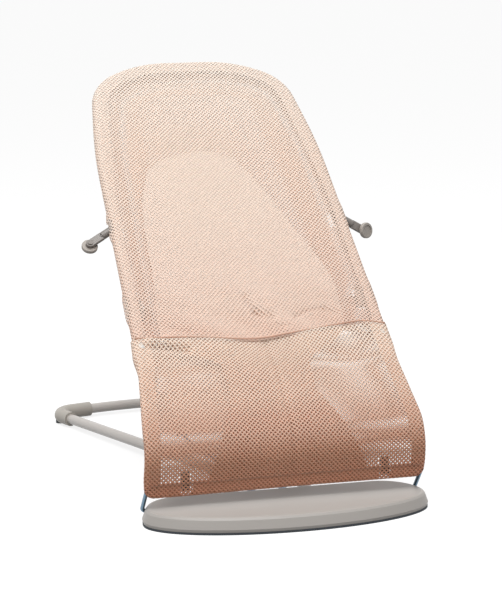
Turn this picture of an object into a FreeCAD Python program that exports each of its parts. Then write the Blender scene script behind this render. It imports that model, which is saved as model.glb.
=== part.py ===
"""Bouncer seat: a weighted front plate and a bent-tube base carry a sprung frame, and on it a
mesh-covered seat frame that reclines and folds flat, held by a prop that steps along two racks.

Millimetres, +Z up, +Y towards the back, +X to the right seen from the front. The origin is on the
floor under the middle of the front plate."""

import FreeCAD, Part
import os
from math import acos, atan2, cos, degrees, hypot, pi, radians, sin, sqrt, tan

V = FreeCAD.Vector
X_AXIS = V(1, 0, 0)
Y_AXIS = V(0, 1, 0)
Z_AXIS = V(0, 0, 1)
ORIGIN = V(0, 0, 0)

# ---- clearances ----
FIT = 0.05            # running fit, on the radius
SOFT_GAP = 0.4        # between fabric and what it lies on
LOOSE = 0.4           # between moving faces

# ---- front plate ----
PLATE_HALF = 195.0    # half length, along X
PLATE_FRONT = 81.0    # depth in front of the origin
PLATE_BACK = 66.0     # depth behind the origin
PLATE_TURN = 60.0     # length of each rounded rear corner
PLATE_H = 22.0        # top of the plate above the floor
PLATE_WALL = 2.5
PAD_T = 3.0           # rubber sole
RIM = [(3.0, 1.2), (7.0, 0.0), (18.5, 4.2), (21.2, 6.4), (22.0, 9.5)]   # height, inset
BALLAST_T = 6.0
BALLAST_Z = 8.0
BALLAST_EDGE = 14.0   # from the plate's outline
BALLAST_REAR = -28.0  # Y of its straight rear edge
SCREW_R = 2.0
SCREW_HEAD_R = 3.6
SCREW_HEAD_T = 2.4
BOSS_R = 5.0
PLATE_SCREWS = [(112.0, -44.0), (38.0, -56.0)]

# ---- base tubes ----
TUBE_R = 7.5
TUBE_WALL = 1.2
RAIL_X = 52.0         # where the rails enter the plate
RAIL_Z = 11.5
RAIL_START = -20.0
RAIL_LEVEL_Y = 80.0   # end of the level run behind the plate
RAIL_SPREAD_Y = 200.0 # where the rails start to spread
RAIL_HIGH_Z = 19.5
REAR_Z = 12.0
REAR_Y = 655.0        # middle of the bowed rear bar
REAR_BOW_R = 520.0
REAR_BAR_X = 128.0    # where the rear bar enters the elbows
ELBOW_R = 10.8
ELBOW_BEND = 28.0
ELBOW_BAR_ARM = 60.0
ELBOW_RAIL_ARM = 52.0
ELBOW_GRIP = 20.0     # length of tube held in each arm
FOOT_LONG = 15.0
FOOT_WIDE = 7.0
FOOT_TOP = 5.0

# ---- hinge line in the plate ----
HINGE_Y = 36.0
HINGE_Z = 11.5
HINGE_ROD_R = 3.5
HINGE_ROD_X = 43.5
HUB_R = 7.0
HUB_X = 22.0
HUB_HALF = 8.0
HUB_REACH = 30.0
SLOT_ROOM = 1.0       # above and below the hubs, for the bounce
BUSH_X0 = 157.0
BUSH_X1 = 173.0

# ---- sprung frame and racks ----
SPRING_R = 4.0
RACK_SLOPE = 7.0      # degrees, line of the prop's foot through the hinge
RACK_X = 52.0
RACK_HALF = 6.0
RACK_DEEP = 23.0
SPRING_DROP = 16.5    # spring wire below the foot's line
NOTCH_DROP = 2.6
RECLINE_STEP = 8.0    # degrees between the three seat positions
SPRING_SPREAD = (205.0, 310.0)

# ---- seat ----
SEAT_W = (116.0, 226.0)       # Y, Z of the waist seam
SEAT_ANGLE = 39.4             # degrees above level
HEM = (1.0, 40.0)
KNEE = (-10.0, 106.0)
KNEE_R = 60.0
WIRE_R = 2.8
WIRE_X = 189.0
WIRE_BEND = 8.0
ARCH_R = 7.0
ARCH_WALL = 1.2
ARCH_N = 9.5                  # tube axis below the fabric's face
ARCH = [(169.0, 0.0), (158.0, 350.0), (139.0, 480.0), (70.0, 517.0)]
ARCH_BENDS = [900.0, 68.0, 160.0]
ARCH_GRIP = 26.0              # wire held inside the tube
COUPLER_R = 7.6
COUPLER_LEN = 14.0
HEM_ROD_R = 2.0
HOOK_X = 137.0
HOOK_HALF = 5.5
HOOK_TALL = 24.0

# ---- prop ----
PROP_S = 60.0                 # pin along the seat from the waist
PROP_N = 24.0                 # pin below the fabric's face
PROP_R = 5.0
PROP_WALL = 1.0
PROP_TOP_X = 146.0
PROP_FOOT_X = 84.0
PROP_BEND = 22.0
PIN_R = 3.0
EYE_R = 7.5
EYE_HALF = 6.0
SLEEVE_R = 6.5
SLEEVE_HALF = 8.0
BRACKET_R = 9.2
BRACKET_HALF = 14.0
CLIP_OPEN_N = 4.5             # snap clips are open above this depth below the fabric's face

# ---- restraint arms ----
ARM_S = 208.0
ARM_OUT = (36.5, -15.0, 15.0) # across, along the seat, below it: arm from tube to button
ARM_WIDE = 12.0
ARM_THICK = 5.0
STEM_R = 3.6
BUTTON_R = 11.3
BUTTON_T = 6.0
BUTTON_RIM = 2.0
RIVET_HEAD_R = 3.8

# ---- fabric ----
CLOTH_T = 1.2
EDGE_PAST_TUBE = 1.5
BELL = [(0.0, 318.0), (66.0, 300.0), (98.0, 225.0), (124.0, 100.0), (132.0, 12.0)]
CROTCH_TOP = 24.0
CROTCH_HEM = 104.0

SIDES = {"left": -1, "right": 1}


# ---- small helpers ----
def cyl(start, direction, r, length):
    return Part.makeCylinder(r, length, start, direction)


def cyl_mid(middle, direction, r, half):
    d = V(direction).normalize()
    return Part.makeCylinder(r, 2 * half, middle - d * half, d)


def block(x0, x1, y0, y1, z0, z1):
    return Part.makeBox(x1 - x0, y1 - y0, z1 - z0, V(x0, y0, z0))


def bent_path(points, bends):
    """Straight runs joined by tangent arcs, one bend radius for each inner point."""
    edges = []
    last = points[0]
    for before, corner, after, r in zip(points, points[1:], points[2:], bends):
        into = (before - corner).normalize()
        out = (after - corner).normalize()
        half_turn = (pi - acos(max(-1.0, min(1.0, into.dot(out))))) / 2
        tangent = r * tan(half_turn)
        start = corner + into * tangent
        end = corner + out * tangent
        middle = corner + (into + out).normalize() * (r / cos(half_turn) - r)
        edges.append(Part.LineSegment(last, start).toShape())
        edges.append(Part.Arc(start, middle, end).toShape())
        last = end
    edges.append(Part.LineSegment(last, points[-1]).toShape())
    return Part.Wire(edges)


def rod_on(path, r):
    start = path.Edges[0].valueAt(path.Edges[0].FirstParameter)
    along = path.Edges[0].tangentAt(path.Edges[0].FirstParameter)
    ring = Part.Wire([Part.makeCircle(r, start, along)])
    return path.makePipeShell([ring], True, False)


def tube_on(path, r, wall):
    return rod_on(path, r).cut(rod_on(path, r - wall))


def mirrored(shape):
    return shape.mirror(ORIGIN, X_AXIS)


def for_side(shape, side):
    return shape if side > 0 else mirrored(shape)


def solid_of(shape):
    """The one solid of a result, or a compound where the piece is a group."""
    solids = shape.Solids
    if len(solids) == 1:
        return solids[0]
    return Part.makeCompound(solids)


def clean(shape):
    return solid_of(shape.removeSplitter())


def prism(points, direction):
    outline = Part.makePolygon(points + [points[0]])
    return Part.Face(outline).extrude(direction)


# ---- seat plane: x across, s up the seat from the waist, n below the fabric's face ----
SEAT_U = V(0, cos(radians(SEAT_ANGLE)), sin(radians(SEAT_ANGLE)))
SEAT_N = V(0, sin(radians(SEAT_ANGLE)), -cos(radians(SEAT_ANGLE)))
WAIST = V(0, *SEAT_W)


def seat_at(x, s, n=0.0):
    return WAIST + X_AXIS * x + SEAT_U * s + SEAT_N * n


def arch_x(s):
    (x0, s0), (x1, s1) = ARCH[0], ARCH[1]
    return x0 + (x1 - x0) * (s - s0) / (s1 - s0)


def below_cloth(shape, depth):
    """What lies deeper than this under the fabric's face, so that a snap clip stays open on top."""
    return shape.common(prism([seat_at(x, s, depth) for x, s in
                               ((0, -90), (400, -90), (400, 600), (0, 600))], SEAT_N * 200))


# ---- hinge line and the line that the prop's foot follows ----
HINGE = V(0, HINGE_Y, HINGE_Z)
LINE_T = V(0, cos(radians(RACK_SLOPE)), sin(radians(RACK_SLOPE)))
LINE_H = V(0, -sin(radians(RACK_SLOPE)), cos(radians(RACK_SLOPE)))


def line_at(x, t, h=0.0):
    return HINGE + X_AXIS * x + LINE_T * t + LINE_H * h


PROP_PIN = seat_at(0, PROP_S, PROP_N)
LINK = (PROP_PIN - HINGE).Length           # hinge to pin, and pin to foot
LINK_ANGLE = degrees(atan2(PROP_PIN.z - HINGE_Z, PROP_PIN.y - HINGE_Y)) - RACK_SLOPE


def foot_t(recline):
    """How far along its line the foot lies with the seat lowered by this many degrees."""
    return 2 * LINK * cos(radians(LINK_ANGLE - recline))


NOTCHES = [foot_t(RECLINE_STEP * step) for step in range(3)]
FOOT = line_at(0, NOTCHES[0])


# ---- front plate ----
def plate_outline(inset, z):
    half = PLATE_HALF - inset
    front = PLATE_FRONT - inset
    back = PLATE_BACK - inset
    turn = PLATE_TURN - inset
    flat = half - turn
    right_end = V(half, 0, z)
    left_end = V(-half, 0, z)
    bow = Part.Ellipse(right_end, V(0, front, z), V(0, 0, z))
    edges = [Part.ArcOfEllipse(bow, pi, 2 * pi).toShape()]
    for side in (1, -1):
        corner = Part.Ellipse(V(side * flat, back, z), V(side * half, 0, z), V(side * flat, 0, z))
        first = corner.parameter(V(side * half, 0, z))
        last = corner.parameter(V(side * flat, back, z))
        low, high = sorted((first, last))
        if high - low > pi:
            low, high = high, low + 2 * pi
        edges.append(Part.ArcOfEllipse(corner, low, high).toShape())
    edges.append(Part.LineSegment(V(flat, back, z), V(-flat, back, z)).toShape())
    return Part.Wire(Part.__sortEdges__(edges))


def plate_loft(sections):
    wires = [plate_outline(inset, z) for z, inset in sections]
    return Part.makeLoft(wires, True, True)


def plate_slab(inset, z0, z1):
    return Part.Face(plate_outline(inset, z0)).extrude(V(0, 0, z1 - z0))


ROOF_Z = PLATE_H - PLATE_WALL


def plate_shell():
    outer = plate_loft(RIM)
    rows = [(z, inset + PLATE_WALL) for z, inset in RIM[1:3]]
    rows = [(PAD_T - 1.0, RIM[0][1] + PLATE_WALL)] + rows + [(ROOF_Z, RIM[2][1] + PLATE_WALL + 1.0)]
    shell = outer.cut(plate_loft(rows))
    for side in (1, -1):
        seat = block(RAIL_X - TUBE_R - 3.0, RAIL_X + TUBE_R + 3.0, RAIL_START - 4.0, 45.0,
                     RAIL_Z - TUBE_R, ROOF_Z + 0.5)
        shell = shell.fuse(for_side(seat, side))
        for x, y in PLATE_SCREWS:
            boss_foot = BALLAST_Z + BALLAST_T
            boss = cyl(V(side * x, y, boss_foot), Z_AXIS, BOSS_R, ROOF_Z - boss_foot + 0.5)
            shell = shell.fuse(boss)
    for side in (1, -1):
        bore = cyl(V(side * RAIL_X, RAIL_START, RAIL_Z), Y_AXIS, TUBE_R + FIT, PLATE_BACK - RAIL_START + 5)
        shell = shell.cut(bore)
        cross = cyl_mid(V(side * RAIL_X, 0, RAIL_Z), X_AXIS, SCREW_R + FIT, 13.0)
        shell = shell.cut(cross)
        for x, y in PLATE_SCREWS:
            hole = cyl(V(side * x, y, PAD_T), Z_AXIS, SCREW_R + FIT, ROOF_Z - PAD_T - 1.5)
            shell = shell.cut(hole)
        slot = block(HUB_X - HUB_HALF - 2, HUB_X + HUB_HALF + 2, 44.0, PLATE_BACK + 1,
                     HINGE_Z - HUB_R - SLOT_ROOM, HINGE_Z + HUB_R + SLOT_ROOM)
        shell = shell.cut(for_side(slot, side))
        end_hole = cyl(V(side * (BUSH_X0 - 2), HINGE_Y, HINGE_Z), X_AXIS * side, WIRE_R + 1.4, 40)
        shell = shell.cut(end_hole)
    rod_hole = cyl_mid(HINGE, X_AXIS, HINGE_ROD_R + FIT, HINGE_ROD_X)
    return clean(shell.cut(rod_hole))


def plate_pad():
    return solid_of(plate_slab(RIM[0][1] - 0.6, 0, PAD_T))


def ballast_plate():
    slab = plate_slab(BALLAST_EDGE, BALLAST_Z, BALLAST_Z + BALLAST_T)
    behind = block(-PLATE_HALF, PLATE_HALF, BALLAST_REAR, PLATE_BACK, 0, PLATE_H)
    slab = slab.cut(behind)
    for side in (1, -1):
        for x, y in PLATE_SCREWS:
            slab = slab.cut(cyl(V(side * x, y, 0), Z_AXIS, SCREW_R + FIT, PLATE_H))
    return solid_of(slab)


def plate_screws():
    screws = []
    for side in (1, -1):
        for x, y in PLATE_SCREWS:
            head = cyl(V(side * x, y, BALLAST_Z - SCREW_HEAD_T), Z_AXIS, SCREW_HEAD_R, SCREW_HEAD_T)
            shank = cyl(V(side * x, y, BALLAST_Z - 0.1), Z_AXIS, SCREW_R, ROOF_Z - 3.0 - BALLAST_Z)
            screws.append(clean(head.fuse(shank)))
    return Part.makeCompound(screws)


# ---- base tubes, elbows and feet ----
BAR_SIN = REAR_BAR_X / REAR_BOW_R
BAR_COS = sqrt(1 - BAR_SIN ** 2)
BAR_END = V(REAR_BAR_X, REAR_Y - REAR_BOW_R * (1 - BAR_COS), REAR_Z)
BAR_OUT = V(BAR_COS, -BAR_SIN, 0)
ELBOW_CORNER = BAR_END + BAR_OUT * ELBOW_BAR_ARM
RAIL_TURN = V(RAIL_X, RAIL_SPREAD_Y, RAIL_HIGH_Z)
RAIL_OUT = (RAIL_TURN - ELBOW_CORNER).normalize()


def rail(side):
    end = ELBOW_CORNER + RAIL_OUT * (ELBOW_RAIL_ARM - ELBOW_GRIP)
    points = [V(RAIL_X, RAIL_START, RAIL_Z), V(RAIL_X, RAIL_LEVEL_Y, RAIL_Z), RAIL_TURN, end]
    tube = tube_on(bent_path(points, [80.0, 90.0]), TUBE_R, TUBE_WALL)
    tube = tube.cut(cyl_mid(V(RAIL_X, 0, RAIL_Z), X_AXIS, SCREW_R + FIT, 13.0))
    return solid_of(for_side(tube, side))


def rail_pins():
    pins = []
    for side in (1, -1):
        pins.append(cyl_mid(V(side * RAIL_X, 0, RAIL_Z), X_AXIS, SCREW_R, TUBE_R + 3.0))
    return Part.makeCompound(pins)


def rear_bar():
    mirror_end = V(-BAR_END.x, BAR_END.y, BAR_END.z)
    mirror_out = V(-BAR_OUT.x, BAR_OUT.y, 0)
    first = Part.LineSegment(BAR_END + BAR_OUT * ELBOW_GRIP, BAR_END).toShape()
    bow = Part.Arc(BAR_END, V(0, REAR_Y, REAR_Z), mirror_end).toShape()
    last = Part.LineSegment(mirror_end, mirror_end + mirror_out * ELBOW_GRIP).toShape()
    return solid_of(tube_on(Part.Wire([first, bow, last]), TUBE_R, TUBE_WALL))


def elbow_body():
    rail_end = ELBOW_CORNER + RAIL_OUT * ELBOW_RAIL_ARM
    return rod_on(bent_path([BAR_END, ELBOW_CORNER, rail_end], [ELBOW_BEND]), ELBOW_R)


def elbow_screw_spots():
    rail_end = ELBOW_CORNER + RAIL_OUT * (ELBOW_RAIL_ARM - ELBOW_GRIP / 2)
    return [BAR_END + BAR_OUT * (ELBOW_GRIP / 2), rail_end]


def elbow(side):
    rail_end = ELBOW_CORNER + RAIL_OUT * ELBOW_RAIL_ARM
    body = elbow_body()
    body = body.cut(cyl(BAR_END, BAR_OUT, TUBE_R + FIT, ELBOW_GRIP + FIT))
    body = body.cut(cyl(rail_end, RAIL_OUT * -1, TUBE_R + FIT, ELBOW_GRIP + FIT))
    for spot in elbow_screw_spots():
        body = body.cut(cyl(V(spot.x, spot.y, 0), Z_AXIS, SCREW_R + FIT, spot.z))
    return solid_of(for_side(body, side))


def elbow_screws():
    screws = []
    for side in (1, -1):
        for spot in elbow_screw_spots():
            low = REAR_Z - ELBOW_R + 0.6
            screws.append(cyl(V(side * spot.x, spot.y, low), Z_AXIS, SCREW_R, spot.z - TUBE_R - low))
    return Part.makeCompound(screws)


def rear_foot(side):
    middle = ELBOW_CORNER + (BAR_OUT * -1 + RAIL_OUT).normalize() * (ELBOW_BEND * 0.43)
    along = (BAR_OUT + RAIL_OUT).normalize()
    across = Z_AXIS.cross(along)
    ends = [middle + along * (sign * (FOOT_LONG - FOOT_WIDE)) for sign in (1, -1)]
    pad = prism([V(p.x, p.y, 0) + across * (w * FOOT_WIDE) for p, w in
                 ((ends[0], 1), (ends[1], 1), (ends[1], -1), (ends[0], -1))], V(0, 0, FOOT_TOP))
    for p in ends:
        pad = pad.fuse(cyl(V(p.x, p.y, 0), Z_AXIS, FOOT_WIDE, FOOT_TOP))
    pad = pad.removeSplitter().cut(elbow_body())
    return max(for_side(pad, side).Solids, key=lambda s: s.Volume)


# ---- hinge inside the plate ----
def hinge_rod():
    return cyl_mid(HINGE, X_AXIS, HINGE_ROD_R, HINGE_ROD_X - 0.5)


def wire_bush(side):
    body = block(BUSH_X0, BUSH_X1, HINGE_Y - 7, HINGE_Y + 7, PAD_T + 0.5, ROOF_Z)
    inside = plate_loft([(z, inset + PLATE_WALL + 0.1) for z, inset in RIM[:3]] +
                        [(ROOF_Z, RIM[2][1] + PLATE_WALL + 1.1)])
    body = body.common(inside)
    body = body.cut(cyl_mid(HINGE + X_AXIS * BUSH_X1, X_AXIS, WIRE_R + FIT, 30))
    return solid_of(for_side(body, side))


def spring_hub(side):
    centre = HINGE + X_AXIS * HUB_X
    hub = cyl_mid(centre, X_AXIS, HUB_R - LOOSE, HUB_HALF)
    lever = block(HUB_X - HUB_HALF, HUB_X + HUB_HALF, HINGE_Y, HINGE_Y + HUB_REACH,
                  HINGE_Z - 5.5, HINGE_Z + 5.5)
    hub = hub.fuse(lever).removeSplitter()
    hub = hub.cut(cyl_mid(centre, X_AXIS, HINGE_ROD_R + FIT, HUB_HALF + 1))
    hub = hub.cut(cyl(centre + Y_AXIS * 10, Y_AXIS, SPRING_R + FIT, HUB_REACH))
    return solid_of(for_side(hub, side))


# ---- sprung frame ----
def spring_wire():
    rear_t = NOTCHES[2] + 44.0
    half = [HINGE + V(HUB_X, 10.2, 0), HINGE + V(HUB_X, 70, 0),
            V(HUB_X, SPRING_SPREAD[0], line_at(0, SPRING_SPREAD[0] - HINGE_Y, -SPRING_DROP).z),
            line_at(RACK_X, SPRING_SPREAD[1] - HINGE_Y, -SPRING_DROP),
            line_at(RACK_X, rear_t, -SPRING_DROP)]
    points = half + [V(-p.x, p.y, p.z) for p in reversed(half)]
    bends = [60.0, 60.0, 60.0, 24.0]
    return solid_of(rod_on(bent_path(points, bends + bends[::-1]), SPRING_R))


def rack(side):
    front = NOTCHES[0] - 18.0
    rear = NOTCHES[2] + 16.0
    crest = -SLEEVE_R - LOOSE
    outline = [(front, -RACK_DEEP), (rear, -RACK_DEEP), (rear, crest), (NOTCHES[0] - 8.5, crest),
               (NOTCHES[0] - 8.5, 2.0), (front + 3.0, 2.0), (front, crest)]
    body = prism([line_at(RACK_X - RACK_HALF, t, h) for t, h in outline], X_AXIS * (2 * RACK_HALF))
    for t in NOTCHES:
        body = body.cut(cyl_mid(line_at(RACK_X, t, -NOTCH_DROP), X_AXIS, SLEEVE_R + LOOSE, RACK_HALF + 1))
    body = body.cut(cyl(line_at(RACK_X, 0, -SPRING_DROP), LINE_T, SPRING_R + FIT, 2 * rear))
    for t in rack_pin_spots():
        body = body.cut(cyl_mid(line_at(RACK_X, t, -SPRING_DROP - SPRING_R), X_AXIS, 1.6, RACK_HALF + 1))
    return solid_of(for_side(body, side))


def rack_pin_spots():
    return [(NOTCHES[0] + NOTCHES[1]) / 2, (NOTCHES[1] + NOTCHES[2]) / 2]


# ---- seat frame ----
def shifted(points, distance):
    """The corners of an open side profile moved square to its runs, towards the back."""
    moved = []
    runs = []
    for (y0, z0), (y1, z1) in zip(points, points[1:]):
        length = hypot(y1 - y0, z1 - z0)
        runs.append(((y1 - y0) / length, (z1 - z0) / length))
    for i, (y, z) in enumerate(points):
        before = runs[max(i - 1, 0)]
        after = runs[min(i, len(runs) - 1)]
        nx = before[1] + after[1]
        nz = -(before[0] + after[0])
        size = hypot(nx, nz)
        nx, nz = nx / size, nz / size
        stretch = nx * after[1] - nz * after[0]
        moved.append((y + nx * distance / stretch, z + nz * distance / stretch))
    return moved


PROFILE = [HEM, KNEE, SEAT_W]
WIRE_INSET = CLOTH_T + SOFT_GAP + WIRE_R


def seat_wire(side):
    hem, knee, _ = shifted(PROFILE, WIRE_INSET)
    axis = (seat_at(*ARCH[1], ARCH_N) - seat_at(*ARCH[0], ARCH_N)).normalize()
    foot_of_tube = seat_at(*ARCH[0], ARCH_N)
    points = [HINGE + X_AXIS * (BUSH_X0 + 1), HINGE + X_AXIS * WIRE_X,
              V(WIRE_X, hem[0], hem[1] + 6), V(WIRE_X - 3, *knee),
              foot_of_tube - axis * (COUPLER_LEN + 18), foot_of_tube + axis * (ARCH_GRIP - 1)]
    rod = rod_on(bent_path(points, [WIRE_BEND, 30.0, KNEE_R - WIRE_INSET, 60.0]), WIRE_R)
    return solid_of(for_side(rod, side))


def arch_path():
    right = [seat_at(x, s, ARCH_N) for x, s in ARCH]
    points = right + [V(-p.x, p.y, p.z) for p in reversed(right)]
    return bent_path(points, ARCH_BENDS + ARCH_BENDS[::-1])


def arch_tube():
    return solid_of(tube_on(arch_path(), ARCH_R, ARCH_WALL))


def coupler(side):
    foot_of_tube = seat_at(*ARCH[0], ARCH_N)
    axis = (seat_at(*ARCH[1], ARCH_N) - foot_of_tube).normalize()
    body = cyl(foot_of_tube - axis * COUPLER_LEN, axis, COUPLER_R, COUPLER_LEN)
    plug = cyl(foot_of_tube, axis, ARCH_R - ARCH_WALL - FIT, ARCH_GRIP)
    body = body.fuse(plug).removeSplitter()
    body = body.cut(cyl_mid(foot_of_tube, axis, WIRE_R + FIT, COUPLER_LEN + ARCH_GRIP))
    return solid_of(for_side(body, side))


def hem_spot():
    hem, knee, _ = shifted(PROFILE, WIRE_INSET)
    return V(0, hem[0], hem[1] + 12)


def hem_rod():
    return cyl_mid(hem_spot(), X_AXIS, HEM_ROD_R, WIRE_X - WIRE_R)


def hem_hook(side):
    spot = hem_spot()
    y0 = spot.y - 3.2
    hook = block(HOOK_X - HOOK_HALF, HOOK_X + HOOK_HALF, y0, y0 + 8, spot.z - 9, spot.z - 9 + HOOK_TALL)
    hook = hook.makeFillet(1.2, [e for e in hook.Edges if abs(e.tangentAt(e.FirstParameter).x) > 0.9])
    mouth = block(HOOK_X - HOOK_HALF - 1, HOOK_X + HOOK_HALF + 1, spot.y, y0 + 9, spot.z + 0.2, spot.z + 3.6)
    hook = hook.cut(cyl_mid(spot + X_AXIS * HOOK_X, X_AXIS, HEM_ROD_R + FIT, HOOK_HALF + 1)).cut(mouth)
    return solid_of(for_side(hook, side))


def prop_bracket(side):
    x = arch_x(PROP_S)
    low = seat_at(arch_x(PROP_S - BRACKET_HALF), PROP_S - BRACKET_HALF, ARCH_N)
    high = seat_at(arch_x(PROP_S + BRACKET_HALF), PROP_S + BRACKET_HALF, ARCH_N)
    axis = (high - low).normalize()
    body = cyl(low, axis, BRACKET_R, 2 * BRACKET_HALF)
    inner = PROP_TOP_X + EYE_HALF + LOOSE
    ear = cyl_mid(PROP_PIN + X_AXIS * ((inner + x) / 2), X_AXIS, EYE_R, (x - inner) / 2)
    web = prism([seat_at(inner, PROP_S + s, n) for s, n in
                 ((-EYE_R, PROP_N), (EYE_R, PROP_N), (BRACKET_HALF - 1, ARCH_N), (1 - BRACKET_HALF, ARCH_N))],
                X_AXIS * (x - inner))
    body = body.fuse(ear).fuse(web).removeSplitter()
    body = body.cut(cyl(low - axis, axis, ARCH_R + FIT, 2 * BRACKET_HALF + 2))
    body = below_cloth(body, CLIP_OPEN_N)
    body = body.cut(cyl_mid(PROP_PIN + X_AXIS * x, X_AXIS, PIN_R + FIT, 40))
    return solid_of(for_side(body, side))


def prop_pin(side):
    inner = PROP_TOP_X - EYE_HALF - LOOSE
    shank = cyl(PROP_PIN + X_AXIS * inner, X_AXIS, PIN_R, arch_x(PROP_S) - inner)
    head = cyl(PROP_PIN + X_AXIS * (inner - 2), X_AXIS, PIN_R + 2, 2)
    return solid_of(for_side(head.fuse(shank).removeSplitter(), side))


# ---- prop ----
LEG_TOP = PROP_PIN + X_AXIS * PROP_TOP_X
LEG_FOOT = FOOT + X_AXIS * PROP_FOOT_X
LEG_DOWN = (LEG_FOOT - LEG_TOP).normalize()
LEG_START = EYE_R + 1.0


def prop_tube():
    half = [LEG_TOP + LEG_DOWN * LEG_START, LEG_FOOT]
    points = half + [V(-p.x, p.y, p.z) for p in reversed(half)]
    return solid_of(tube_on(bent_path(points, [PROP_BEND, PROP_BEND]), PROP_R, PROP_WALL))


def prop_eye(side):
    eye = cyl_mid(LEG_TOP, X_AXIS, EYE_R, EYE_HALF)
    socket = cyl(LEG_TOP, LEG_DOWN, PROP_R + 1.8, LEG_START + 20)
    eye = eye.fuse(socket.common(block(0, PROP_TOP_X + EYE_HALF, 0, 900, -10, 900))).removeSplitter()
    eye = eye.cut(cyl_mid(LEG_TOP, X_AXIS, PIN_R + FIT, EYE_HALF + 12))
    eye = eye.cut(cyl(LEG_TOP - X_AXIS * EYE_HALF, X_AXIS * -1, PIN_R + 2 + LOOSE, 12))
    eye = eye.cut(cyl(LEG_TOP + LEG_DOWN * LEG_START, LEG_DOWN, PROP_R + FIT, 40))
    return solid_of(for_side(eye, side))


def foot_sleeve(side):
    middle = FOOT + X_AXIS * RACK_X
    sleeve = cyl_mid(middle, X_AXIS, SLEEVE_R, SLEEVE_HALF)
    return solid_of(for_side(sleeve.cut(cyl_mid(middle, X_AXIS, PROP_R + FIT, SLEEVE_HALF + 1)), side))


# ---- restraint arms and buttons ----
ARM_ROOT = seat_at(arch_x(ARM_S), ARM_S, ARCH_N)
ARM_VECTOR = X_AXIS * ARM_OUT[0] + SEAT_U * ARM_OUT[1] + SEAT_N * ARM_OUT[2]
ARM_DIR = V(ARM_VECTOR).normalize()
ARM_LEN = ARM_VECTOR.Length
CLAMP_R = 9.2
CLAMP_HALF = 11.0
SOCKET_END = 22.0
STEM_START = 12.0
# where each button's outer face points, as if both were on the right
FACING = {-1: SEAT_N, 1: V(0.464, -0.876, 0.114).normalize()}


def arm_clamp(side):
    low = seat_at(arch_x(ARM_S - CLAMP_HALF), ARM_S - CLAMP_HALF, ARCH_N)
    axis = (ARM_ROOT - low).normalize()
    body = cyl(low, axis, CLAMP_R, 2 * CLAMP_HALF)
    body = body.fuse(cyl(ARM_ROOT, ARM_DIR, STEM_R + 2.2, SOCKET_END)).removeSplitter()
    body = body.cut(cyl(low - axis, axis, ARCH_R + FIT, 2 * CLAMP_HALF + 2))
    body = below_cloth(body, CLIP_OPEN_N)
    body = body.cut(cyl(ARM_ROOT + ARM_DIR * (STEM_START - FIT), ARM_DIR, STEM_R + FIT, 40))
    return solid_of(for_side(body, side))


def arm_frame(side):
    facing = FACING[side]
    face = (facing - ARM_DIR * facing.dot(ARM_DIR)).normalize()
    return face, ARM_DIR.cross(face)


def restraint_arm(side):
    face, across = arm_frame(side)
    start = ARM_ROOT + ARM_DIR * (SOCKET_END + LOOSE)
    end = ARM_ROOT + ARM_DIR * ARM_LEN
    corners = [start + across * (w * ARM_WIDE / 2) - face * (ARM_THICK / 2) for w in (1, -1)]
    corners += [end + across * (w * ARM_WIDE / 2) - face * (ARM_THICK / 2) for w in (-1, 1)]
    bar = prism(corners, face * ARM_THICK)
    bar = bar.makeFillet(1.2, [e for e in bar.Edges if abs(e.tangentAt(e.FirstParameter).dot(ARM_DIR)) > 0.9])
    stem = cyl(ARM_ROOT + ARM_DIR * STEM_START, ARM_DIR, STEM_R, SOCKET_END - STEM_START + 2)
    boss = cyl_mid(end, FACING[side], ARM_WIDE / 2, ARM_THICK / 2)
    arm = bar.fuse([stem, boss]).removeSplitter()
    arm = arm.cut(cyl_mid(end, FACING[side], SCREW_R + FIT, 10))
    arm = arm.cut(cyl(end - FACING[side] * (ARM_THICK / 2), FACING[side] * -1, RIVET_HEAD_R + 0.2, 10))
    return solid_of(for_side(arm, side))


def button(side):
    start = ARM_ROOT + ARM_DIR * ARM_LEN + FACING[side] * (ARM_THICK / 2)
    disc = cyl(start, FACING[side], BUTTON_R, BUTTON_T)
    disc = disc.makeFillet(1.6, disc.Edges)
    dish = cyl(start + FACING[side] * (BUTTON_T - 1.2), FACING[side], BUTTON_R - 1.6 - BUTTON_RIM, 2)
    disc = disc.cut(dish)
    disc = disc.cut(cyl(start - FACING[side], FACING[side], SCREW_R + FIT, BUTTON_T - 1.2))
    wedge = restraint_arm(1) if side > 0 else mirrored(restraint_arm(-1))
    return solid_of(for_side(disc.cut(wedge), side))


def button_rivet(side):
    middle = ARM_ROOT + ARM_DIR * ARM_LEN
    head = cyl(middle - FACING[side] * (ARM_THICK / 2 + 1.6), FACING[side], RIVET_HEAD_R, 1.6)
    shank = cyl(middle - FACING[side] * (ARM_THICK / 2), FACING[side], SCREW_R, ARM_THICK + BUTTON_T - 2.6)
    return solid_of(for_side(head.fuse(shank).removeSplitter(), side))


# ---- fabric ----
def seat_outline(grow, n):
    """Closed outline of the upper fabric: the arch's own path moved outwards, closed at the waist."""
    right = [seat_at(x + grow, s, n) for x, s in ARCH[:2]]
    (x2, s2), (x3, s3) = ARCH[2:]
    right += [seat_at(x2 + grow * 0.8, s2 + grow * 0.6, n), seat_at(x3 + grow * 0.2, s3 + grow, n)]
    points = right + [V(-p.x, p.y, p.z) for p in reversed(right)]
    arch = bent_path(points, ARCH_BENDS + ARCH_BENDS[::-1])
    closing = Part.LineSegment(points[-1], points[0]).toShape()
    return Part.Face(Part.Wire(arch.Edges + [closing]))


def upper_panel():
    return solid_of(seat_outline(ARCH_R + EDGE_PAST_TUBE, 0).extrude(SEAT_N * CLOTH_T))


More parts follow.
